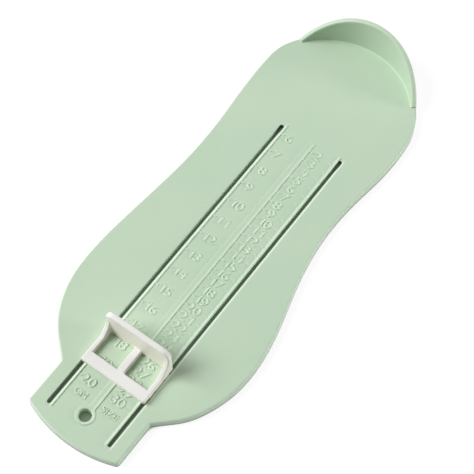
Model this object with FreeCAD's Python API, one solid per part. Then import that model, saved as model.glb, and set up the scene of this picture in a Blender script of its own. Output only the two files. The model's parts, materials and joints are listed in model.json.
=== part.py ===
"""Foot measuring device: a foot-shaped plate with a heel wall, and a slider that reads the foot's length.

Millimetres. The plate lies flat on the table (z = 0) with its length along Y, heel towards +Y.
The origin is on the table, on the line midway between the two slots, halfway along the object.
Every distance called "s" runs from the heel zero (foot of the heel wall) towards the toes.
"""
import FreeCAD, Part
import math
import os
from FreeCAD import Vector

# ---- plate -------------------------------------------------------------------------------
plate_h = 4.5            # table to the plate's top face
deck_t = 2.0             # thickness of the deck between top face and underside
skirt_t = 1.6            # thickness of the rim that hangs down round the deck
edge_r = 0.8             # rounding of the top outer edge
foot_bevel = 0.3         # bevel of the bottom outer edge, on which it stands
tab_w = 45.5             # width of the tab at the toe end
tab_shoulder_s = 200.0   # where the foot shape meets the tab
tab_corner_s = 220.6     # the tab's outer corners
tab_end_sag = 4.5        # how far the middle of the tab's curved end stands out past them
tab_corner_r = 1.6
shoulder_r = 0.9

# widest, narrowest and toe points of the foot shape: distance from the heel zero, then x
left_side = [(38.0, -42.1), (84.0, -39.4), (121.0, -42.0), (153.0, -44.6), (173.0, -42.3), (186.0, -36.3)]
right_side = [(40.0, 34.2), (79.0, 30.6), (113.0, 33.9), (136.0, 39.8), (156.0, 42.7), (173.0, 40.9),
              (186.0, 35.6)]
toe_slope_deg = 46.0     # how far the foot shape leans in from the Y direction where it meets the tab

# ---- heel wall ---------------------------------------------------------------------------
heel_x = -4.6            # centre of the heel's round back
heel_r = 37.1            # radius at the foot of the wall's inner face
wall_t = 2.35
wall_h = 17.0            # rim above the deck, at the middle of the back
wall_end_h = 1.0         # step that is left where the wall runs out
wall_lean_deg = 4.0      # outward lean of the wall
wall_half_deg = 53.0     # the wall runs this far round to each side of the back
heel_blend_deg = 62.0    # the round back runs this far before the sides leave it
wall_spare_deg = 1.5     # made longer by this, so that the rim's rounding is cut off clean
rim_r = 0.9
rim_steps = 4            # points that carry the rim's falling curve, to each side
crease_r = 0.5           # hollow rounding where the wall meets the deck

# ---- slots, rails and scale --------------------------------------------------------------
slot_x = 15.5            # middle of each slot from the centreline
slot_w = 1.5
slot_start_s = 56.0
slot_end_inset = 3.6     # from a slot's toe end to the tab's corners
slot_bevel = 0.3         # bevel of a slot's top edge
rail_w = 1.5
rail_h = 0.45
rail_slope_w = 1.1       # width of the slope up a rail's left side
rail_over = 1.2          # how far a rail runs past the heel end of its slot
rail_over_toe = 0.3
strip_x = -1.5           # left side of the raised strip between the scales
strip_w = 3.35
strip_h = 0.3            # its low step
strip_slope_w = 0.85
rib_w = 1.35             # rib along its right side
rib_h = 0.42
rib_slope_w = 0.6
pad_r = 4.2
pad_h = 0.48
hole_r = 2.7
hole_inset = 8.1         # from the hole's centre to the tab's corners
hole_bevel = 0.4
pad_bevel = 0.35
relief_bevel = 0.2       # bevel down the right side of rails and rib
tick_w = 0.5
tick_h = 0.25
tick_bevel = 0.2         # bevel down a graduation's toe side
cm_first, cm_last = 6, 20
cm_tick_len = 1.4
size_first, size_last = 2, 30
size_pitch = 5.0
size_zero_s = 50.0       # size n stands at this distance plus n steps
size_tick_len = 1.8

# ---- underside ---------------------------------------------------------------------------
table_gap = 0.5          # ribs, boss and hooks stay this far off the table
channel_clear = 0.55     # room between a hook and the channel wall beside it
channel_t = 1.2

# ---- slider ------------------------------------------------------------------------------
reading_s = 175.9        # the pusher's measuring face, as the slider stands
glide_gap = 0.1          # between the rails and the slider's base
side_gap = 0.15          # between a leg and each side of its slot
stop_gap = 0.1           # left between legs and slot ends at the limits of the travel
slider_len = 19.3
pusher_t = 2.4
pusher_h = 16.8          # pusher's top above the plate's top face
pusher_corner_r = 4.2
base_t = 2.3
toe_bar_d = 5.1
mid_bar_w = 3.3
mid_bar_x = 0.2          # its middle, right of the centreline like the rib under it
cheek_t = 2.2
sweep_len = 6.7          # length of the cheek's hollow curve, which climbs to the pusher's corner
slider_corner_r = 0.7
slider_bevel = 0.45      # bevel of the slider's outer top edges
window_bevel = 0.35      # bevel of the top edges round its two windows
leg_start = 3.0          # legs, from the measuring face
leg_len = 12.6
finger_len = 5.4
relief_gap = 0.8         # cut on each side of the snap finger
guide_short = 0.2        # guide blades end this far above the deck's underside
hook_reach = 0.95
hook_gap = 0.15          # between a hook and the deck's underside
hook_land = 0.7

# ---- worked out from the above -----------------------------------------------------------
lean = math.tan(math.radians(wall_lean_deg))
heel_out_r = heel_r + wall_t
heel_back = wall_t + wall_h * lean
tab_end_s = tab_corner_s + tab_end_sag
slot_end_s = tab_corner_s - slot_end_inset
hole_s = tab_corner_s - hole_inset
heel_zero_y = (tab_end_s - heel_back) / 2
heel_centre = Vector(heel_x, heel_zero_y - heel_r, 0)
deck_z = plate_h - deck_t
leg_t = slot_w - 2 * side_gap
leg_x = slot_x + leg_t / 2
slider_base_z = plate_h + rail_h + glide_gap
base_top_z = slider_base_z + base_t
corner_z = plate_h + pusher_h - pusher_corner_r
wall_s = reading_s + pusher_t
bar_s = reading_s + slider_len - toe_bar_d
back_s = reading_s + slider_len


def at(x, s, z=0.0):
    """Point at x, at distance s from the heel zero, at height z."""
    return Vector(x, heel_zero_y - s, z)


def heel_point(deg, radius, z=0.0):
    """Point on a circle round the heel's centre; 0 degrees is the middle of the back."""
    a = math.radians(deg)
    return heel_centre + Vector(radius * math.sin(a), radius * math.cos(a), z)


def block(x0, x1, s0, s1, z0, z1):
    """Box between two x, two distances from the heel zero and two heights."""
    return Part.makeBox(x1 - x0, s1 - s0, z1 - z0, at(x0, s1, z0))


def racetrack(x, s0, s1, width, z0, z1):
    """Round-ended bar along Y."""
    r = width / 2
    bar = block(x - r, x + r, s0 + r, s1 - r, z0, z1)
    ends = [Part.makeCylinder(r, z1 - z0, at(x, s, z0)) for s in (s0 + r, s1 - r)]
    return bar.multiFuse(ends).removeSplitter()


def spline(points, **ends):
    curve = Part.BSplineCurve()
    curve.interpolate(Points=points, **ends)
    return curve.toShape()


def round_edges(shape, radius, wanted):
    """Round every edge of the shape that the test picks out."""
    return shape.makeFillet(radius, [e for e in shape.Edges if wanted(e)])


def bevel_edges(shape, size, wanted):
    """Bevel every edge of the shape that the test picks out."""
    return shape.makeChamfer(size, [e for e in shape.Edges if wanted(e)])


def is_upright(edge):
    box = edge.BoundBox
    return box.XLength < 1e-6 and box.YLength < 1e-6


def is_level_at(edge, z):
    box = edge.BoundBox
    return abs(box.ZMin - z) < 1e-4 and abs(box.ZMax - z) < 1e-4


# ---- the plate ---------------------------------------------------------------------------
def side_nodes(sign, stations):
    """Points and directions down one long side, from heel to shoulder, between which it is single arcs."""
    leave = math.radians(heel_blend_deg)
    arrive = math.radians(toe_slope_deg)
    points = [heel_point(sign * heel_blend_deg, heel_out_r)]
    points += [at(x, s) for s, x in stations]
    points += [at(sign * tab_w / 2, tab_shoulder_s)]
    guide = Part.BSplineCurve()
    guide.interpolate(
        Points=points,
        InitialTangent=Vector(sign * math.cos(leave), -math.sin(leave), 0),
        FinalTangent=Vector(-sign * math.sin(arrive), -math.cos(arrive), 0),
    )
    ends = [(guide.value(u), guide.tangent(u)[0].normalize()) for u in guide.getKnots()]
    nodes = ends[:1]
    for (p, leaving), (q, arriving) in zip(ends, ends[1:]):
        chord = q - p
        both = leaving + arriving
        bend = 2 - 2 * leaving.dot(arriving)
        along = chord.dot(both)
        reach = (math.sqrt(along ** 2 + bend * chord.dot(chord)) - along) / bend
        meeting = (p + q + (leaving - arriving) * reach) / 2
        nodes += [(meeting, (chord - both * reach).normalize()), (q, arriving)]
    return nodes


def arc_leaving(a, direction, b):
    """Arc from a to b that leaves a in the given direction."""
    chord = b - a
    half_turn = math.atan2(direction.x * chord.y - direction.y * chord.x, direction.dot(chord))
    bulge = Vector(chord.y, -chord.x, 0) * (math.tan(half_turn / 2) / 2)
    return Part.Arc(a, (a + b) / 2 + bulge, b).toShape()


def outline(inset):
    """The foot shape with its tab, everywhere set in by the same distance."""
    half = tab_w / 2 - inset
    end_r = (tab_w ** 2 / 4 + tab_end_sag ** 2) / (2 * tab_end_sag)
    corner_s = tab_end_s - end_r + math.sqrt((end_r - inset) ** 2 - half ** 2)
    back = Part.Arc(*(heel_point(d, heel_out_r - inset) for d in (-heel_blend_deg, 0, heel_blend_deg)))
    end = Part.Arc(at(half, corner_s), at(0, tab_end_s - inset), at(-half, corner_s))
    edges = [back.toShape(), end.toShape()]
    for sign, stations in ((1, right_side), (-1, left_side)):
        nodes = [(p + Vector(d.y, -d.x, 0) * (sign * inset), d) for p, d in side_nodes(sign, stations)]
        edges += [arc_leaving(p, d, q) for (p, d), (q, _) in zip(nodes, nodes[1:])]
        edges.append(Part.makeLine(at(sign * half, tab_shoulder_s), at(sign * half, corner_s)))
        if inset:
            edges.append(Part.makeLine(nodes[-1][0], at(sign * half, tab_shoulder_s)))
    return Part.Face(Part.Wire(Part.__sortEdges__(edges)))


def plate_blank():
    """The foot outline at full height, with its plan corners rounded."""
    blank = outline(0).extrude(Vector(0, 0, plate_h))

    def upright_at(s):
        return lambda e: is_upright(e) and abs(e.BoundBox.YMin - at(0, s).y) < 0.01

    blank = round_edges(blank, tab_corner_r, upright_at(tab_corner_s))
    return round_edges(blank, shoulder_r, upright_at(tab_shoulder_s))


def channel_walls(x):
    """A wall round each slot's underside, which keeps the hooks clear of fingers and table."""
    inside = 2 * (leg_t / 2 + hook_reach + channel_clear)
    reach = (inside - slot_w) / 2
    outer = racetrack(x, slot_start_s - reach - channel_t, slot_end_s + reach + channel_t,
                      inside + 2 * channel_t, table_gap, plate_h - deck_t / 2)
    inner = racetrack(x, slot_start_s - reach, slot_end_s + reach, inside, 0, deck_z)
    return outer.cut(inner)


def slot_mouth(x):
    """Cutter for the bevel round a slot's top edge; its point ends inside the slot."""
    depth = 1.5 * slot_bevel
    cutter = racetrack(x, slot_start_s - slot_bevel, slot_end_s + slot_bevel, slot_w + 2 * slot_bevel,
                       plate_h - depth, plate_h + 1)
    return bevel_edges(cutter, depth, lambda e: is_level_at(e, plate_h - depth))


def rail(sign):
    """Raised line along a slot's inner side, on which the slider glides."""
    x_out = slot_x - slot_w / 2
    x0, x1 = sorted((sign * x_out, sign * (x_out - rail_w)))
    slope_foot = plate_h - slot_bevel if sign < 0 else plate_h
    top = plate_h + rail_h
    section = [(x0, slope_foot), (x0 + rail_slope_w, top), (x1 - relief_bevel, top), (x1, top - relief_bevel)]
    return raised_line(section, slot_start_s - rail_over, slot_end_s + rail_over_toe)


def raised_line(section, s0, s1):
    """Bar along Y that is rooted in the deck, from the section of its visible part."""
    root = plate_h - deck_t / 2
    corners = [(section[0][0], root)] + section + [(section[-1][0], root), (section[0][0], root)]
    face = Part.Face(Part.makePolygon([at(x, s1, z) for x, z in corners]))
    return face.extrude(Vector(0, s1 - s0, 0))


def centre_strip():
    """Raised strip between the two scales: a low step, then a rib, each with a slope on its left."""
    right = strip_x + strip_w
    low, high = plate_h + strip_h, plate_h + rib_h
    return raised_line([
        (strip_x, low - strip_h / 2), (strip_x + strip_slope_w, low), (right - rib_w, low),
        (right - rib_w + rib_slope_w, high), (right - relief_bevel, high), (right, high - relief_bevel),
    ], slot_start_s, hole_s)


def hole_pad():
    """Raised pad round the hanging hole."""
    pad = Part.makeCylinder(pad_r, deck_t / 2 + pad_h, at(0, hole_s, plate_h - deck_t / 2))
    return bevel_edges(pad, pad_bevel, lambda e: is_level_at(e, plate_h + pad_h))


def scale_ticks():
    """Graduations, each pair on both sides of its column: one per centimetre, one per shoe size."""
    z0, z1 = plate_h - deck_t / 2, plate_h + tick_h
    half = tick_w / 2
    section = [(-half, z0), (-half, z1), (half - tick_bevel, z1), (half, z1 - tick_bevel), (half, z0), (-half, z0)]
    rail_x = slot_x - slot_w / 2 - rail_w
    strip_right = strip_x + strip_w

    def tick(x0, x1, s):
        return Part.Face(Part.makePolygon([at(x0, s + d, z) for d, z in section])).extrude(Vector(x1 - x0, 0, 0))

    def pair(x0, x1, length, s):
        return [tick(x0 - tick_w, x0 + length, s), tick(x1 - length, x1 + tick_w, s)]

    ticks = []
    for cm in range(cm_first, cm_last + 1):
        ticks += pair(-rail_x, strip_x, cm_tick_len, 10 * cm)
    for size in range(size_first, size_last + 1):
        ticks += pair(strip_right, rail_x, size_tick_len, size_zero_s + size_pitch * size)
    return ticks


def rim_height(deg):
    """Rim of the heel wall above the deck: full at the back, running out towards both ends."""
    return wall_end_h + (wall_h - wall_end_h) * (1 - (deg / wall_half_deg) ** 2)


def heel_ring(profile, half_deg):
    """Closed profile of radii and heights, turned round the heel's centre to both sides of the back."""
    section = Part.makePolygon([Vector(0, r, z) for r, z in profile + profile[:1]])
    section.translate(heel_centre)
    section.rotate(heel_centre, Vector(0, 0, 1), half_deg)
    return Part.Face(section).revolve(heel_centre, Vector(0, 0, 1), -2 * half_deg)


def heel_wall():
    """Leaning wall round the heel, its rim level across and falling along a smooth curve."""
    root = plate_h - deck_t / 2
    top = plate_h + wall_h + 1
    spare_deg = wall_half_deg + wall_spare_deg
    bottom_r = heel_r - (plate_h - root) * lean
    top_r = heel_r + (top - plate_h) * lean
    wall = heel_ring([
        (bottom_r, root), (top_r, top), (top_r + wall_t, top), (bottom_r + wall_t, root)
    ], spare_deg)

    def rim_curve(radius):
        degs = [spare_deg * i / rim_steps for i in range(-rim_steps, rim_steps + 1)]
        return spline([heel_point(d, radius, plate_h + rim_height(d)) for d in degs])

    above = Part.makeRuledSurface(rim_curve(heel_r - 3), rim_curve(heel_out_r + 5))
    wall = wall.cut(above.extrude(Vector(0, 0, top)))
    wall = round_edges(wall, rim_r, lambda e: e.BoundBox.ZMax > top - 1.5 and e.Length > heel_r)
    near, far = heel_r / 2, heel_r * 2
    return wall.common(heel_ring([(near, root), (far, root), (far, top), (near, top)], wall_half_deg))


def foot_plate():
    blank = plate_blank()
    plate = round_edges(blank, edge_r, lambda e: is_level_at(e, plate_h))
    plate = bevel_edges(plate, foot_bevel, lambda e: is_level_at(e, 0))
    plate = plate.cut(outline(skirt_t).extrude(Vector(0, 0, deck_z)))
    boss = Part.makeCylinder(pad_r, plate_h - table_gap - deck_t / 2, at(0, hole_s, table_gap))
    added = [heel_wall(), boss, centre_strip(), hole_pad()]
    for sign in (-1, 1):
        plate = plate.cut(slot_mouth(sign * slot_x))
        added += [channel_walls(sign * slot_x), rail(sign)]
    plate = plate.multiFuse(added + scale_ticks()).removeSplitter()
    for sign in (-1, 1):
        plate = plate.cut(racetrack(sign * slot_x, slot_start_s, slot_end_s, slot_w, 0, plate_h + 1))
    plate = plate.cut(Part.makeCylinder(hole_r, plate_h + 1, at(0, hole_s)))

    def is_round(e, radius, z):
        return is_level_at(e, z) and isinstance(e.Curve, Part.Circle) and abs(e.Curve.Radius - radius) < 0.01

    plate = bevel_edges(plate, hole_bevel, lambda e: is_round(e, hole_r, plate_h + pad_h))
    return round_edges(plate, crease_r, lambda e: is_round(e, heel_r, plate_h))


# ---- the slider --------------------------------------------------------------------------
def is_crosswise(edge):
    box = edge.BoundBox
    return box.YLength < 1e-6 and box.ZLength < 1e-6


def hollow_curve():
    """Quarter ellipse in the YZ plane, from the pusher's corner down to the base's top face."""
    climb = corner_z - base_top_z
    turns = [math.pi / 8 * i for i in range(5)]
    points = [at(0, wall_s + sweep_len * (1 - math.cos(a)), corner_z - climb * math.sin(a)) for a in turns]
    return spline(points, InitialTangent=Vector(0, 0, -1), FinalTangent=Vector(0, -1, 0))


def cheek(sign):
    """Side wall: low along the base, then hollowed up to the pusher."""
    root_s = wall_s - pusher_t / 2
    inner_x = sign * (leg_x - cheek_t)
    corners = [
        at(0, wall_s + sweep_len, base_top_z), at(0, back_s, base_top_z), at(0, back_s, slider_base_z),
        at(0, root_s, slider_base_z), at(0, root_s, corner_z), at(0, wall_s, corner_z),
    ]
    edges = [Part.makeLine(a, b) for a, b in zip(corners, corners[1:])]
    face = Part.Face(Part.Wire(Part.__sortEdges__(edges + [hollow_curve()])))
    face.translate(Vector(inner_x, 0, 0))
    solid = face.extrude(Vector(sign * cheek_t, 0, 0))

    def inner_top(e):
        box = e.BoundBox
        inner = box.XLength < 1e-6 and abs(box.XMin - inner_x) < 1e-6
        return inner and (isinstance(e.Curve, Part.BSplineCurve) or is_level_at(e, base_top_z))

    return bevel_edges(solid, window_bevel, inner_top)


def pusher():
    """Upright plate that touches the toes, with round top corners."""
    top = plate_h + pusher_h
    wall = block(-leg_x, leg_x, reading_s, wall_s, slider_base_z, top)
    return round_edges(wall, pusher_corner_r, lambda e: is_level_at(e, top) and not is_crosswise(e))


def bars():
    """The toe bar across the end, and the bar between the two windows."""
    left, right = mid_bar_x - mid_bar_w / 2, mid_bar_x + mid_bar_w / 2
    toe = block(-leg_x, leg_x, bar_s, back_s, slider_base_z, base_top_z)
    middle = block(left, right, wall_s - pusher_t / 2, bar_s + toe_bar_d / 2, slider_base_z, base_top_z)

    def window_side(e):
        return is_level_at(e, base_top_z) and is_crosswise(e) and e.BoundBox.YMax > at(0, back_s).y + 1

    return [
        bevel_edges(toe, window_bevel, window_side),
        bevel_edges(middle, window_bevel, lambda e: is_level_at(e, base_top_z) and not is_crosswise(e)),
    ]


def leg(sign):
    """Two guide blades and a snap finger between them, reaching down through one slot."""
    x0, x1 = sorted((sign * leg_x, sign * (leg_x - leg_t)))
    s0 = reading_s + leg_start
    s1 = s0 + leg_len
    root = base_top_z - base_t / 2
    finger_s = (s0 + s1 - finger_len) / 2
    blade_end = finger_s - relief_gap
    blades = [
        block(x0, x1, s0, blade_end, deck_z + guide_short, root),
        block(x0, x1, s0 + s1 - blade_end, s1, deck_z + guide_short, root),
    ]
    tip = leg_x + hook_reach
    hook_top = deck_z - hook_gap
    outline = [
        (leg_x - leg_t, root), (leg_x, root), (leg_x, hook_top), (tip, hook_top), (tip, hook_top - hook_land),
        (leg_x - leg_t / 2, table_gap), (leg_x - leg_t, table_gap), (leg_x - leg_t, root),
    ]
    profile = Part.makePolygon([at(sign * x, finger_s, z) for x, z in outline])
    finger = Part.Face(profile).extrude(Vector(0, -finger_len, 0))
    return blades + [finger]


def toe_slider():
    body = pusher().multiFuse(bars() + [cheek(-1), cheek(1)]).removeSplitter()
    back_y = at(0, back_s).y

    def at_back(e):
        return abs(e.BoundBox.YMin - back_y) < 1e-3 and e.BoundBox.YLength < 1e-3

    def outer_top(e):
        on_base = at_back(e) and is_level_at(e, base_top_z)
        return is_crosswise(e) and (on_base or is_level_at(e, plate_h + pusher_h))

    body = round_edges(body, slider_corner_r, lambda e: is_upright(e) and at_back(e))
    body = bevel_edges(body, slider_bevel, outer_top)
    return body.multiFuse(leg(-1) + leg(1)).removeSplitter()


def travel():
    """How far the slider runs from where it stands, towards the toes and towards the heel."""
    end_r = slot_w / 2
    seat = end_r - math.sqrt(end_r ** 2 - leg_t ** 2 / 4) + stop_gap
    toe_limit = slot_end_s - seat - leg_start - leg_len
    heel_limit = slot_start_s + seat - leg_start
    return reading_s - toe_limit, reading_s - heel_limit


def main():
    os.makedirs("parts", exist_ok=True)
    for name, shape in (("foot_plate", foot_plate()), ("toe_slider", toe_slider())):
        shape.exportStep("parts/" + name + ".step")
        print(name, "valid", shape.isValid(), "solids", len(shape.Solids), "volume", round(shape.Volume, 1))
    print("slider travel along +Y, mm: %.3f to %.3f" % travel())


main()
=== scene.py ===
"""Looks of the foot measuring device: moulded plastics, raised numbers and a plain studio.

Metres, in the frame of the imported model: the plate's underside rests on z = 0, the heel is
towards +Y. The two scales are counted from the foot of the heel wall, towards -Y.
"""

import json
import math

import bpy
from mathutils import Matrix, Vector


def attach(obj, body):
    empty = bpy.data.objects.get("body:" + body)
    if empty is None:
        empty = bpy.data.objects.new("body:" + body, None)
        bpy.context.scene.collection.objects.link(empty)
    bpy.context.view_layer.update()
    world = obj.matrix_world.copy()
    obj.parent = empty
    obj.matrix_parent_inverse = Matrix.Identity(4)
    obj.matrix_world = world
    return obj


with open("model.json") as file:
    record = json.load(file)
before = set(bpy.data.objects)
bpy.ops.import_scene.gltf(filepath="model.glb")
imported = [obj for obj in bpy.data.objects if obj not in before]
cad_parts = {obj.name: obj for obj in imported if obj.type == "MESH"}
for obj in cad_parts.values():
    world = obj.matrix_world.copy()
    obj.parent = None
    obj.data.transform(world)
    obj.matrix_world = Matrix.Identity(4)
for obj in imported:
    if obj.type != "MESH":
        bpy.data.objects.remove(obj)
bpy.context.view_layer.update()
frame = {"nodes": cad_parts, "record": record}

bl_info = {
    "name": "Foot measuring device",
    "version": (1, 0, 0),
    "blender": (4, 5, 0),
    "location": "View3D > Sidebar > Foot gauge",
    "description": "Finishes the plate and slider, adds the raised numbers and sets up a studio",
    "category": "Object",
}

PLATE = "plate"                              # body that the signs ride on
PLATE_MATERIAL = "sage_plastic"
MM = 0.001

HOLE_S = 212.5 * MM                          # hang hole, from the scales' zero
HOLE_Y = next(m["pos_m"][1] for m in frame["record"]["mounts"] if m["name"] == "hang_hole")
HEEL_Y = HOLE_Y + HOLE_S                     # the scales' zero, at the foot of the heel wall
DECK_TOP = 4.5 * MM                          # plate's top face

# centimetre scale, size scale and the words under them
CM_PITCH, CM_CELL = 10 * MM, 3.6 * MM        # a cell is the room from one figure to the next
SIZE_PITCH, SIZE_CELL = 5 * MM, 3.38 * MM
SIZE_ZERO = 50 * MM
LABEL_S, LABEL_X = 206 * MM, 7.4 * MM

# plain type, in shares of its size
DIGIT_HEIGHT = 0.70
DIGIT_ROOM = 0.5                             # from one figure to the next
FLAG, FLAG_ROOM = "\u00b4", 0.333            # accent that serves as the flag of a 1
FLAG_TUCK = 0.045                            # it starts this far before its 1
KERNS_IN_ROOM = 40                           # kerning that adds a sign's own room once more

# patches in the plastics and in the painted shade at the rim's foot, in patches per metre
PIGMENT, SPECKS, SHEEN, SINKS, FOOT_SHADE_PATCHES = 28.0, 1400.0, 110.0, 60.0, 90.0
SINK_DEPTH = 0.08 * MM                       # slow waves that the cooling leaves

# where the plate wears, and where painted highlights and painted shade lie on it, in millimetres as
# on_plate gives them
LANES = 12.5, 19.0                           # rails and slots, on both sides of the middle
SIGNS_SIDE = 13.0                            # the signs' field, on both sides of the middle
STRIP_MIDDLE, STRIP_SIDE = -1.5, 2.4         # low strip between the scales, which gets no painted highlight
HIGHLIGHT_LINES = (                             # painted highlights on the edges along the slots: from, to, how much
    (-14.65, -13.45, 0.7),
    (13.55, 14.75, 0.35),
    (16.3, 17.4, 0.8),
)
HIGHLIGHT_LENGTH = 54.0, 219.0
SIGN_HIGHLIGHT, RIM_HIGHLIGHT = 0.3, 0.3          # how much painted highlight the signs and the rim get
RIM_EDGE = -0.75, -0.05                      # rounding of the plate's outer edge, upward
RIM_START = 15.0                             # painted highlight from here on, past the heel wall
FOOT_SHADE_FADE = -3.7, -2.6                      # painted shade at the rim's foot thins out upward between these
SLOT_WALLS = 13.9, 17.1
HEEL_END_SHADE = 55.0, 63.0                       # painted shade in the slots, at their heel ends
# painted shade in the slots at their toe ends, and how much of it
TOE_END_SHADE, TOE_END_SHADE_SHARE = (180.0, 218.3), 0.45


def srgb(red, green, blue):
    """A colour given in 0 to 255 steps, as linear light."""
    def line(step):
        step /= 255
        return step / 12.92 if step <= 0.04045 else ((step + 0.055) / 1.055) ** 2.4
    return line(red), line(green), line(blue)


# ---- values a user would change ------------------------------------------------------------

class GaugePlateFinish(bpy.types.PropertyGroup):
    """Finish of the sage green plate"""
    colour: bpy.props.FloatVectorProperty(
        name="Colour", description="Colour of the plate's plastic", subtype="COLOR",
        default=srgb(194, 214, 190), min=0, max=1)
    deep: bpy.props.FloatVectorProperty(
        name="Deep colour", description="Colour where the melt's pigment lies thickest",
        subtype="COLOR", default=srgb(189, 211, 186), min=0, max=1)
    # painted shade at the foot of the rim
    dusty: bpy.props.FloatVectorProperty(
        name="Foot shade colour", description="Colour of the painted shade at the foot of the rim",
        subtype="COLOR", default=srgb(138, 152, 136), min=0, max=1)
    # painted shade in the slots' ends
    grime: bpy.props.FloatVectorProperty(
        name="Slot end shade colour", description="Colour of the painted shade in the slots' ends",
        subtype="COLOR", default=srgb(56, 70, 52), min=0, max=1)
    # painted highlight on the plate's edges
    rubbed: bpy.props.FloatVectorProperty(
        name="Painted highlight colour", description="Colour of the painted highlights on the plate's edges",
        subtype="COLOR", default=srgb(238, 249, 234), min=0, max=1)
    roughness: bpy.props.FloatProperty(
        name="Roughness", description="Roughness of the moulded face", default=0.46, min=0, max=1)
    grain: bpy.props.FloatProperty(
        name="Grain", description="Size of the eroded mould's grain", default=0.00035,
        min=0.00005, max=0.005, precision=5, unit="LENGTH")
    grain_depth: bpy.props.FloatProperty(
        name="Grain depth", description="Depth of the eroded mould's grain", default=0.000012,
        min=0, max=0.001, precision=6, unit="LENGTH")


class GaugeSliderFinish(bpy.types.PropertyGroup):
    """Finish of the warm white slider"""
    colour: bpy.props.FloatVectorProperty(
        name="Colour", description="Colour of the slider's plastic", subtype="COLOR",
        default=srgb(238, 237, 235), min=0, max=1)
    deep: bpy.props.FloatVectorProperty(
        name="Deep colour", description="Colour where the melt's pigment lies thickest",
        subtype="COLOR", default=srgb(234, 233, 230), min=0, max=1)
    # painted warm light on the slider's upright faces
    handled: bpy.props.FloatVectorProperty(
        name="Warm light colour", description="Colour of the painted warm light on the upright faces",
        subtype="COLOR", default=srgb(247, 243, 232), min=0, max=1)
    roughness: bpy.props.FloatProperty(
        name="Roughness", description="Roughness of the moulded face", default=0.38, min=0, max=1)
    grain: bpy.props.FloatProperty(
        name="Grain", description="Size of the polished mould's faint grain", default=0.0005,
        min=0.00005, max=0.005, precision=5, unit="LENGTH")
    grain_depth: bpy.props.FloatProperty(
        name="Grain depth", description="Depth of the polished mould's faint grain",
        default=0.000006, min=0, max=0.001, precision=6, unit="LENGTH")


class GaugeNumbers(bpy.types.PropertyGroup):
    """Sizes of the raised figures of both scales"""
    height: bpy.props.FloatProperty(
        name="Figure height", description="Height of a figure", default=4.3 * MM,
        min=0.001, max=0.02, unit="LENGTH")
    widen: bpy.props.FloatProperty(
        name="Widening", description="Width of a figure against the plain type's",
        default=1.3, min=0.5, max=2)
    weight: bpy.props.FloatProperty(
        name="Weight", description="How much bolder each side of a stroke is than the plain type's",
        default=0.20 * MM, min=0, max=0.001, precision=5, unit="LENGTH")
    stem_shift: bpy.props.FloatProperty(
        name="Stem shift", description="How far a 1 stands to the right in its cell",
        default=0.9 * MM, min=0, max=0.003, unit="LENGTH")
    rise: bpy.props.FloatProperty(
        name="Rise", description="How far figures stand up from the plate", default=0.45 * MM,
        min=0.00005, max=0.001, precision=5, unit="LENGTH")
    slope: bpy.props.FloatProperty(
        name="Slope", description="Width of the slope up to a figure's top", default=0.34 * MM,
        min=0.00002, max=0.001, precision=5, unit="LENGTH")
    cm_first: bpy.props.IntProperty(
        name="First centimetre", description="Lowest figure of the centimetre scale", default=6)
    cm_last: bpy.props.IntProperty(
        name="Last centimetre", description="Highest figure of the centimetre scale", default=20)
    size_first: bpy.props.IntProperty(
        name="First size", description="Lowest figure of the size scale", default=2)
    size_last: bpy.props.IntProperty(
        name="Last size", description="Highest figure of the size scale", default=30)
    label_height: bpy.props.FloatProperty(
        name="Label height", description="Height of the words under the scales",
        default=3.0 * MM, min=0.001, max=0.02, unit="LENGTH")
    label_widen: bpy.props.FloatProperty(
        name="Label widening", description="Width of a letter against the plain type's",
        default=1.1, min=0.5, max=2)


class GaugeStudio(bpy.types.PropertyGroup):
    """Light and camera"""
    sky: bpy.props.FloatProperty(
        name="Sky", description="Strength of the even light from all round", default=0.08,
        min=0, max=5)
    key: bpy.props.FloatProperty(
        name="Main lamp", description="Power of the lamp on the left", default=70.0,
        min=0, max=500, unit="POWER")
    key_size: bpy.props.FloatProperty(
        name="Main lamp's size", description="Side of the lamp on the left", default=1.50,
        min=0.01, max=5, unit="LENGTH")
    fill: bpy.props.FloatProperty(
        name="Fill lamp", description="Power of the lamp beyond the heel", default=0.60,
        min=0, max=500, unit="POWER")
    fill_size: bpy.props.FloatProperty(
        name="Fill lamp's size", description="Side of the lamp beyond the heel", default=0.52,
        min=0.01, max=5, unit="LENGTH")
    side: bpy.props.FloatProperty(
        name="Side lamp", description="Power of the low lamp on the right", default=17.0,
        min=0, max=500, unit="POWER")
    side_size: bpy.props.FloatProperty(
        name="Side lamp's size", description="Side of the low lamp on the right", default=0.45,
        min=0.01, max=5, unit="LENGTH")
    lens: bpy.props.FloatProperty(
        name="Focal length", description="Camera's focal length", default=107.72,
        min=10, max=300, unit="CAMERA")


# ---- shader maths ----------------------------------------------------------------------------

class Socket:
    """An output of a node, on which + - * / and abs() add the Math nodes that work them out."""

    def __init__(self, shader, output):
        self.shader, self.output = shader, output

    def maths(self, operation, *values):
        return self.shader.node("ShaderNodeMath", {"operation": operation},
                                dict(enumerate(values)))

    def __add__(self, other):
        return self.maths("ADD", self, other)

    def __sub__(self, other):
        return self.maths("SUBTRACT", self, other)

    def __mul__(self, other):
        return self.maths("MULTIPLY", self, other)

    def __truediv__(self, other):
        return self.maths("DIVIDE", self, other)

    def __rsub__(self, other):
        return self.maths("SUBTRACT", other, self)

    def __rtruediv__(self, other):
        return self.maths("DIVIDE", other, self)

    def __abs__(self):
        return self.maths("ABSOLUTE", self)

    __radd__ = __add__
    __rmul__ = __mul__

    def ramp(self, low, high):
        """0 up to low, 1 from high on."""
        return self.shader.node("ShaderNodeMapRange", {"interpolation_type": "SMOOTHSTEP"},
                                {"Value": self, "From Min": low, "From Max": high})

    def band(self, low, high, rise, fall=None):
        """1 between low and high, reached and left inside them over the lengths rise and fall."""
        fall = rise if fall is None else fall
        return self.ramp(low, low + rise) * (1 - self.ramp(high - fall, high))


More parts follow.
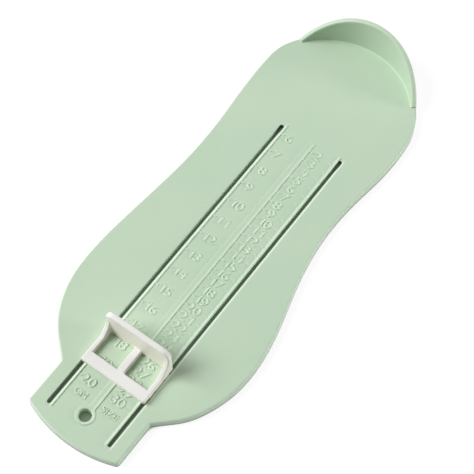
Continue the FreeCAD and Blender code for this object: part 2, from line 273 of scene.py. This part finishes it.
class Shader:
    """A material, or the world, whose nodes are added in plain Python."""

    def __init__(self, owner):
        owner.use_nodes = True
        self.tree = owner.node_tree
        self.tree.nodes.clear()

    def node(self, kind, settings=None, inputs=None, output=0):
        """Adds a node: its settings first, then its sockets' values or links."""
        made = self.tree.nodes.new(kind)
        for name, value in (settings or {}).items():
            setattr(made, name, value)
        for name, value in (inputs or {}).items():
            if isinstance(value, Socket):
                self.tree.links.new(value.output, made.inputs[name])
            else:
                made.inputs[name].default_value = value
        return Socket(self, made.outputs[output]) if made.outputs else None

    def mix(self, factor, first, second):
        """Blend of two colours."""
        return self.node("ShaderNodeMix", {"data_type": "RGBA"},
                         {0: factor, 6: rgba(first), 7: rgba(second)}, 2)

    def noise(self, where, scale, detail=2.0, roughness=0.5):
        return self.node("ShaderNodeTexNoise", {},
                         {"Vector": where, "Scale": scale, "Detail": detail,
                          "Roughness": roughness})

    def stretched(self, where, scale):
        """A place, scaled by its own amount along each axis."""
        return self.node("ShaderNodeMapping", {}, {"Vector": where, "Scale": scale})

    def spread(self, vector):
        """The three parts of a vector."""
        return (self.node("ShaderNodeSeparateXYZ", {}, {"Vector": vector}, axis)
                for axis in range(3))

    def bump(self, height, distance, strength=1.0, normal=None):
        inputs = {"Height": height, "Distance": distance, "Strength": strength}
        if normal is not None:
            inputs["Normal"] = normal
        return self.node("ShaderNodeBump", {}, inputs)


def rgba(colour):
    return colour if isinstance(colour, Socket) else (*colour[:3], 1.0)


def grey(level):
    return level, level, level, 1.0


def moulded_plastic(name, finish, scuffs=None, painted_light_and_shade=()):
    """Moulded plastic: pigment drifts through it, its face carries the mould's grain, and painted
    light and shade can be laid over its colour.
    """
    material = bpy.data.materials.new(name)
    shader = Shader(material)
    place = shader.node("ShaderNodeTexCoord", output="Object")

    drift = shader.noise(place, PIGMENT, 3.0, 0.55).ramp(0.3, 0.7)
    speck = 0.06 * shader.noise(place, SPECKS, 2.0, 0.6).ramp(0.35, 0.75)
    speck_colour = [0.9 * part for part in finish.deep]
    colour = shader.mix(speck, shader.mix(drift, finish.colour, finish.deep), speck_colour)
    for where, painted_colour in painted_light_and_shade:
        colour = shader.mix(where(shader, place), colour, painted_colour)

    grain = shader.noise(place, 1 / finish.grain, 3.0, 0.65)
    sheen = shader.noise(place, SHEEN, 3.0, 0.6)
    rough = finish.roughness + (sheen - 0.5) * 0.10 + (grain - 0.5) * 0.12
    if scuffs is not None:
        rough = rough - scuffs(shader, place) * 0.10

    sinks = shader.bump(shader.noise(place, SINKS, 1.0), SINK_DEPTH, 0.5)
    plastic = shader.node("ShaderNodeBsdfPrincipled", {}, {
        "Base Color": colour, "Roughness": rough,
        "Normal": shader.bump(grain, finish.grain_depth, 1.0, sinks),
        "IOR": 1.5, "Subsurface Weight": 0.08, "Subsurface Radius": (1.0, 1.0, 1.0),
        "Subsurface Scale": 0.8 * MM})
    shader.node("ShaderNodeOutputMaterial", {}, {"Surface": plastic})
    return material


def on_plate(shader, place):
    """A place on the plate in millimetres: right of the middle, towards the toe from the scales'
    zero, and up from the top face."""
    x, y, z = shader.spread(place)
    return x / MM, (HEEL_Y - y) / MM, (z - DECK_TOP) / MM


def slide_scuffs(shader, place):
    """Fine lines that the slider rubs along both rails."""
    across, _, _ = on_plate(shader, place)
    lines = shader.noise(shader.stretched(place, (2600.0, 16.0, 400.0)), 1.0, 3.0, 0.6)
    return abs(across).band(*LANES, 1.2) * lines.ramp(0.5, 0.68)


def rubbed_edges(shader, place):
    """Painted highlights on the rim's rounding, on the edges along the slots and on the raised
    signs, in patches.
    """
    across, along, up = on_plate(shader, place)
    rubbed = SIGN_HIGHLIGHT * up.ramp(0.05, 0.35) \
        * (1 - abs(across).ramp(SIGNS_SIDE - 0.1, SIGNS_SIDE + 0.1)) \
        * abs(across - STRIP_MIDDLE).ramp(STRIP_SIDE - 0.1, STRIP_SIDE + 0.1)
    for left, right, share in HIGHLIGHT_LINES:
        rubbed = rubbed + share * across.band(left, right, 0.3, 0.5)
    rim = RIM_HIGHLIGHT * up.band(*RIM_EDGE, 0.25, 0.15) * along.ramp(RIM_START, RIM_START + 5)
    patchy = shader.noise(shader.stretched(place, (300.0, 40.0, 300.0)), 1.0, 2.0, 0.6)
    return (rubbed * along.band(*HIGHLIGHT_LENGTH, 3) + rim) * (0.5 * patchy + 0.75)


def dusty_foot(shader, place):
    """Painted shade on the foot of the rim, darker towards the bottom, in patches."""
    _, _, up = on_plate(shader, place)
    return (1 - up.ramp(*FOOT_SHADE_FADE)) * (0.6 + 0.4 * shader.noise(place, FOOT_SHADE_PATCHES, 3.0, 0.6))


def grimy_slot_ends(shader, place):
    """Painted shade on the walls at both ends of the slots."""
    across, along, up = on_plate(shader, place)
    ends = TOE_END_SHADE_SHARE * along.band(*TOE_END_SHADE, 18, 0.3) + along.band(*HEEL_END_SHADE, 0.3, 6)
    return ends * abs(across).band(*SLOT_WALLS, 0.2) * (1 - up.ramp(-0.04, -0.01))


def upright_faces(shader, place):
    """Painted warm light on the faces that stand up."""
    _, _, up = shader.spread(shader.node("ShaderNodeTexCoord", output="Normal"))
    return 1 - abs(up).ramp(0.3, 0.8)


# ---- modelling -------------------------------------------------------------------------------

def clear_selection():
    if bpy.context.object is not None and bpy.context.object.mode != "OBJECT":
        bpy.ops.object.mode_set(mode="OBJECT")
    bpy.ops.object.select_all(action="DESELECT")


def in_cells(numbers, cell, stem_shift):
    """Lines in which each 1 has its flag, and the kerning that stands every sign in its place."""
    lines, kerning = [], []
    for number in numbers:
        signs = []
        for index, figure in enumerate(str(number)):
            place = index * cell
            if figure == "1":
                place += stem_shift
                signs.append((FLAG, FLAG_ROOM, place - FLAG_TUCK))
            signs.append((figure, DIGIT_ROOM, place))
        ends = [place for _, _, place in signs[1:]] + [index * cell + DIGIT_ROOM]
        kerning += [KERNS_IN_ROOM * ((end - place) / room - 1)
                    for (_, room, place), end in zip(signs, ends)]
        kerning.append(0)                    # the line's end
        lines.append("".join(sign for sign, _, _ in signs))
    return lines, kerning


def raised_figures(name, numbers, first_s, pitch, last_x, cell, sizes):
    """Figures of a scale, in cells that end with the one centred on x = last_x."""
    em = type_size(sizes.height, sizes.weight) * sizes.widen
    lines, kerning = in_cells(numbers, cell / em, sizes.stem_shift / em)
    return raised_text(name, lines, first_s, pitch, last_x + em * DIGIT_ROOM / 2,
                       sizes.height, sizes.widen, sizes, "RIGHT", kerning)


def type_size(height, weight):
    """Size of the type whose figures, once made bolder, have the given height."""
    return (height - 2 * weight) / DIGIT_HEIGHT


def raised_text(name, lines, first_s, pitch, x, height, widen, sizes, align="CENTER", kerning=()):
    """Lines of raised type, aligned on x and with the first one at first_s, as one closed mesh.

    Its widest section lies in the plate's top face, and slopes lead from there to its flat top.
    """
    clear_selection()
    weight, slope = (width * height / sizes.height for width in (sizes.weight, sizes.slope))
    size = type_size(height, weight)
    straight = 0.1 * slope                   # straight side under the slope
    bpy.ops.object.text_add(location=(x, HEEL_Y - first_s - size * DIGIT_HEIGHT / 2, DECK_TOP))
    text = bpy.context.object
    text.name = text.data.name = name
    text.data.body = "\n".join(lines)
    for sign, kern in zip(text.data.body_format, kerning):
        sign.kerning = kern
    text.data.size = size
    text.data.space_line = pitch / size
    text.data.align_x = align
    text.data.resolution_u = 4
    text.data.bevel_depth = slope
    text.data.bevel_resolution = 0
    text.data.offset = weight - slope
    text.data.extrude = straight
    text.scale = (widen, 1, sizes.rise / (slope + straight))
    bpy.ops.object.convert(target="MESH")
    bpy.ops.object.transform_apply(location=True, rotation=True, scale=True)
    bpy.ops.object.mode_set(mode="EDIT")
    bpy.ops.mesh.select_all(action="SELECT")
    bpy.ops.mesh.remove_doubles(threshold=0.001 * MM)
    bpy.ops.mesh.normals_make_consistent(inside=False)
    bpy.ops.object.mode_set(mode="OBJECT")
    bpy.ops.object.shade_smooth_by_angle(angle=math.radians(25))
    piece = bpy.context.object
    piece.data.materials.clear()
    piece.data.materials.append(bpy.data.materials[PLATE_MATERIAL])
    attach(piece, PLATE)
    return piece


# ---- operators -------------------------------------------------------------------------------

class GAUGE_OT_plate_finish(bpy.types.Operator):
    """Give the plate its sage green moulded plastic"""
    bl_idname = "gauge.plate_finish"
    bl_label = "Finish the plate"

    def execute(self, context):
        finish = context.scene.gauge_plate
        # painted highlights on the edges, painted shade at the rim's foot and in the slots' ends
        painted_light_and_shade = (
            (rubbed_edges, finish.rubbed),
            (dusty_foot, finish.dusty),
            (grimy_slot_ends, finish.grime),
        )
        material = moulded_plastic(PLATE_MATERIAL, finish, slide_scuffs, painted_light_and_shade)
        frame["nodes"]["foot_plate"].material_slots[0].material = material
        return {"FINISHED"}


class GAUGE_OT_slider_finish(bpy.types.Operator):
    """Give the slider its warm white moulded plastic"""
    bl_idname = "gauge.slider_finish"
    bl_label = "Finish the slider"

    def execute(self, context):
        finish = context.scene.gauge_slider
        # the upright faces get painted warm light
        material = moulded_plastic("warm_white_plastic", finish,
                                   painted_light_and_shade=((upright_faces, finish.handled),))
        frame["nodes"]["toe_slider"].material_slots[0].material = material
        return {"FINISHED"}


class GAUGE_OT_centimetre_numbers(bpy.types.Operator):
    """Add the raised figures of the centimetre scale"""
    bl_idname = "gauge.centimetre_numbers"
    bl_label = "Add the centimetre figures"

    def execute(self, context):
        sizes = context.scene.gauge_numbers
        for name, first, last, last_x in (("centimetres_to_9", sizes.cm_first, 9, -8.9 * MM),
                                          ("centimetres_from_10", 10, sizes.cm_last, -6.35 * MM)):
            raised_figures(name, range(first, last + 1), first * CM_PITCH, CM_PITCH, last_x,
                           CM_CELL, sizes)
        return {"FINISHED"}


class GAUGE_OT_size_numbers(bpy.types.Operator):
    """Add the raised figures of the size scale"""
    bl_idname = "gauge.size_numbers"
    bl_label = "Add the size figures"

    def execute(self, context):
        sizes = context.scene.gauge_numbers
        for name, first, last, last_x in (("sizes_to_9", sizes.size_first, 9, 6.4 * MM),
                                          ("sizes_from_10", 10, 19, 8.42 * MM),
                                          ("sizes_from_20", 20, sizes.size_last, 8.54 * MM)):
            raised_figures(name, range(first, last + 1), SIZE_ZERO + first * SIZE_PITCH,
                           SIZE_PITCH, last_x, SIZE_CELL, sizes)
        return {"FINISHED"}


class GAUGE_OT_scale_labels(bpy.types.Operator):
    """Add the plain word under each scale"""
    bl_idname = "gauge.scale_labels"
    bl_label = "Add the words under the scales"

    def execute(self, context):
        sizes = context.scene.gauge_numbers
        for name, word, x in (("label_centimetres", "CM", -LABEL_X),
                              ("label_sizes", "SIZE", LABEL_X)):
            raised_text(name, [word], LABEL_S, CM_PITCH, x, sizes.label_height,
                        sizes.label_widen, sizes)
        return {"FINISHED"}


class GAUGE_OT_studio(bpy.types.Operator):
    """Set up the pale floor, the soft lamps and the camera"""
    bl_idname = "gauge.studio"
    bl_label = "Set up the studio"

    def execute(self, context):
        studio = context.scene.gauge_studio
        self.sky(context, studio)
        self.floor()
        self.lamps(studio)
        self.camera(context, studio)
        context.scene.view_settings.view_transform = "Standard"
        return {"FINISHED"}

    def seen(self, shader):
        """1 for the rays that should find the white background."""
        seen, *others = (shader.node("ShaderNodeLightPath", output=f"Is {ray} Ray")
                         for ray in ("Camera", "Glossy", "Transmission"))
        for ray in others:
            seen = seen.maths("MAXIMUM", seen, ray)
        return seen

    def sky(self, context, studio):
        world = bpy.data.worlds.new("studio_sky")
        context.scene.world = world
        shader = Shader(world)
        light = shader.node("ShaderNodeBackground", {},
                            {"Color": (0.92, 1.0, 0.90, 1.0), "Strength": studio.sky})
        white = shader.node("ShaderNodeBackground", {}, {"Color": grey(1.0), "Strength": 1.0})
        both = shader.node("ShaderNodeMixShader", {}, {0: self.seen(shader), 1: light, 2: white})
        shader.node("ShaderNodeOutputWorld", {}, {"Surface": both})

    def floor(self):
        clear_selection()
        bpy.ops.mesh.primitive_circle_add(vertices=96, radius=3.0, fill_type="NGON")
        floor = bpy.context.object
        floor.name = floor.data.name = "studio_floor"
        material = bpy.data.materials.new("pale_floor")
        shader = Shader(material)
        place = shader.node("ShaderNodeTexCoord", output="Object")
        far = shader.node("ShaderNodeVectorMath", {"operation": "LENGTH"}, {0: place}, 1)
        open_sky = shader.node("ShaderNodeAmbientOcclusion", {"samples": 24},
                               {"Distance": 8 * MM}, "AO")

        pale = shader.node("ShaderNodeBsdfDiffuse", {}, {"Color": grey(0.80)})
        # the floor as the camera sees it: painted shade, tinted with painted green bounce light,
        # under and round the plate where nearby parts hide the sky, and whiter further out
        shade = shader.mix(open_sky.ramp(0.17, 0.32), (0.043, 0.065, 0.039), (0.16, 0.23, 0.14))
        clear = shader.mix(far.ramp(0.14, 0.6), grey(0.90), grey(1.0))
        glow = shader.node("ShaderNodeEmission", {}, {
            "Color": shader.mix(open_sky.ramp(0.36, 0.52), shade, clear), "Strength": 1.0})
        matte = shader.node("ShaderNodeBsdfDiffuse", {}, {"Color": grey(0.16)})
        lifted = shader.node("ShaderNodeAddShader", {}, {0: matte, 1: glow})
        both = shader.node("ShaderNodeMixShader", {}, {0: self.seen(shader), 1: pale, 2: lifted})
        shader.node("ShaderNodeOutputMaterial", {}, {"Surface": both})
        floor.data.materials.append(material)

    def lamps(self, studio):
        aim = Vector()                       # the object's middle
        lamps = (
            ("main_lamp", (-1.60, -0.88, 1.70), studio.key, studio.key_size),
            ("fill_lamp", (-0.10, 0.41, 0.49), studio.fill, studio.fill_size),
            ("side_lamp", (1.50, 0.85, 0.25), studio.side, studio.side_size),
        )
        for name, place, power, size in lamps:
            clear_selection()
            bpy.ops.object.light_add(type="AREA", location=place)
            lamp = bpy.context.object
            lamp.name = lamp.data.name = name
            lamp.data.energy = power
            lamp.data.size = size
            lamp.rotation_euler = (aim - Vector(place)).to_track_quat("-Z", "Y").to_euler()

    def camera(self, context, studio):
        clear_selection()
        bpy.ops.object.camera_add()
        camera = bpy.context.object
        camera.name = camera.data.name = "studio_camera"
        place = Vector((0.16457, -0.22288, 0.53788))
        right = Vector((0.80473, 0.59364, -0.0004))
        down = Vector((0.52749, -0.71537, -0.45826))
        ahead = Vector((-0.27233, 0.36857, -0.88882))
        turn = Matrix((right, -down, -ahead)).transposed()
        camera.matrix_world = Matrix.LocRotScale(place, turn.to_quaternion(), None)
        camera.data.sensor_width = 36.0
        camera.data.lens = studio.lens
        camera.data.clip_start, camera.data.clip_end = 0.01, 20.0
        context.scene.camera = camera


class GAUGE_PT_panel(bpy.types.Panel):
    """Steps and sizes of the foot measuring device"""
    bl_idname = "GAUGE_PT_panel"
    bl_label = "Foot gauge"
    bl_space_type = "VIEW_3D"
    bl_region_type = "UI"
    bl_category = "Foot gauge"

    def draw(self, context):
        for owner, operators in GROUPS:
            box = self.layout.box()
            values = getattr(context.scene, owner)
            for name in type(values).__annotations__:
                box.prop(values, name)
            for operator in operators:
                box.operator(operator.bl_idname)


GROUPS = (
    ("gauge_plate", (GAUGE_OT_plate_finish,)),
    ("gauge_slider", (GAUGE_OT_slider_finish,)),
    ("gauge_numbers", (GAUGE_OT_centimetre_numbers, GAUGE_OT_size_numbers,
                       GAUGE_OT_scale_labels)),
    ("gauge_studio", (GAUGE_OT_studio,)),
)
VALUES = {
    "gauge_plate": GaugePlateFinish,
    "gauge_slider": GaugeSliderFinish,
    "gauge_numbers": GaugeNumbers,
    "gauge_studio": GaugeStudio,
}
CLASSES = (*VALUES.values(), *(o for _, operators in GROUPS for o in operators), GAUGE_PT_panel)


def register():
    for cls in CLASSES:
        bpy.utils.register_class(cls)
    for name, cls in VALUES.items():
        setattr(bpy.types.Scene, name, bpy.props.PointerProperty(type=cls))


def unregister():
    for name in VALUES:
        delattr(bpy.types.Scene, name)
    for cls in reversed(CLASSES):
        bpy.utils.unregister_class(cls)


def main():
    register()
    for _, operators in GROUPS:
        for operator in operators:
            group, name = operator.bl_idname.split(".")
            getattr(getattr(bpy.ops, group), name)()


if __name__ == "__main__":
    main()
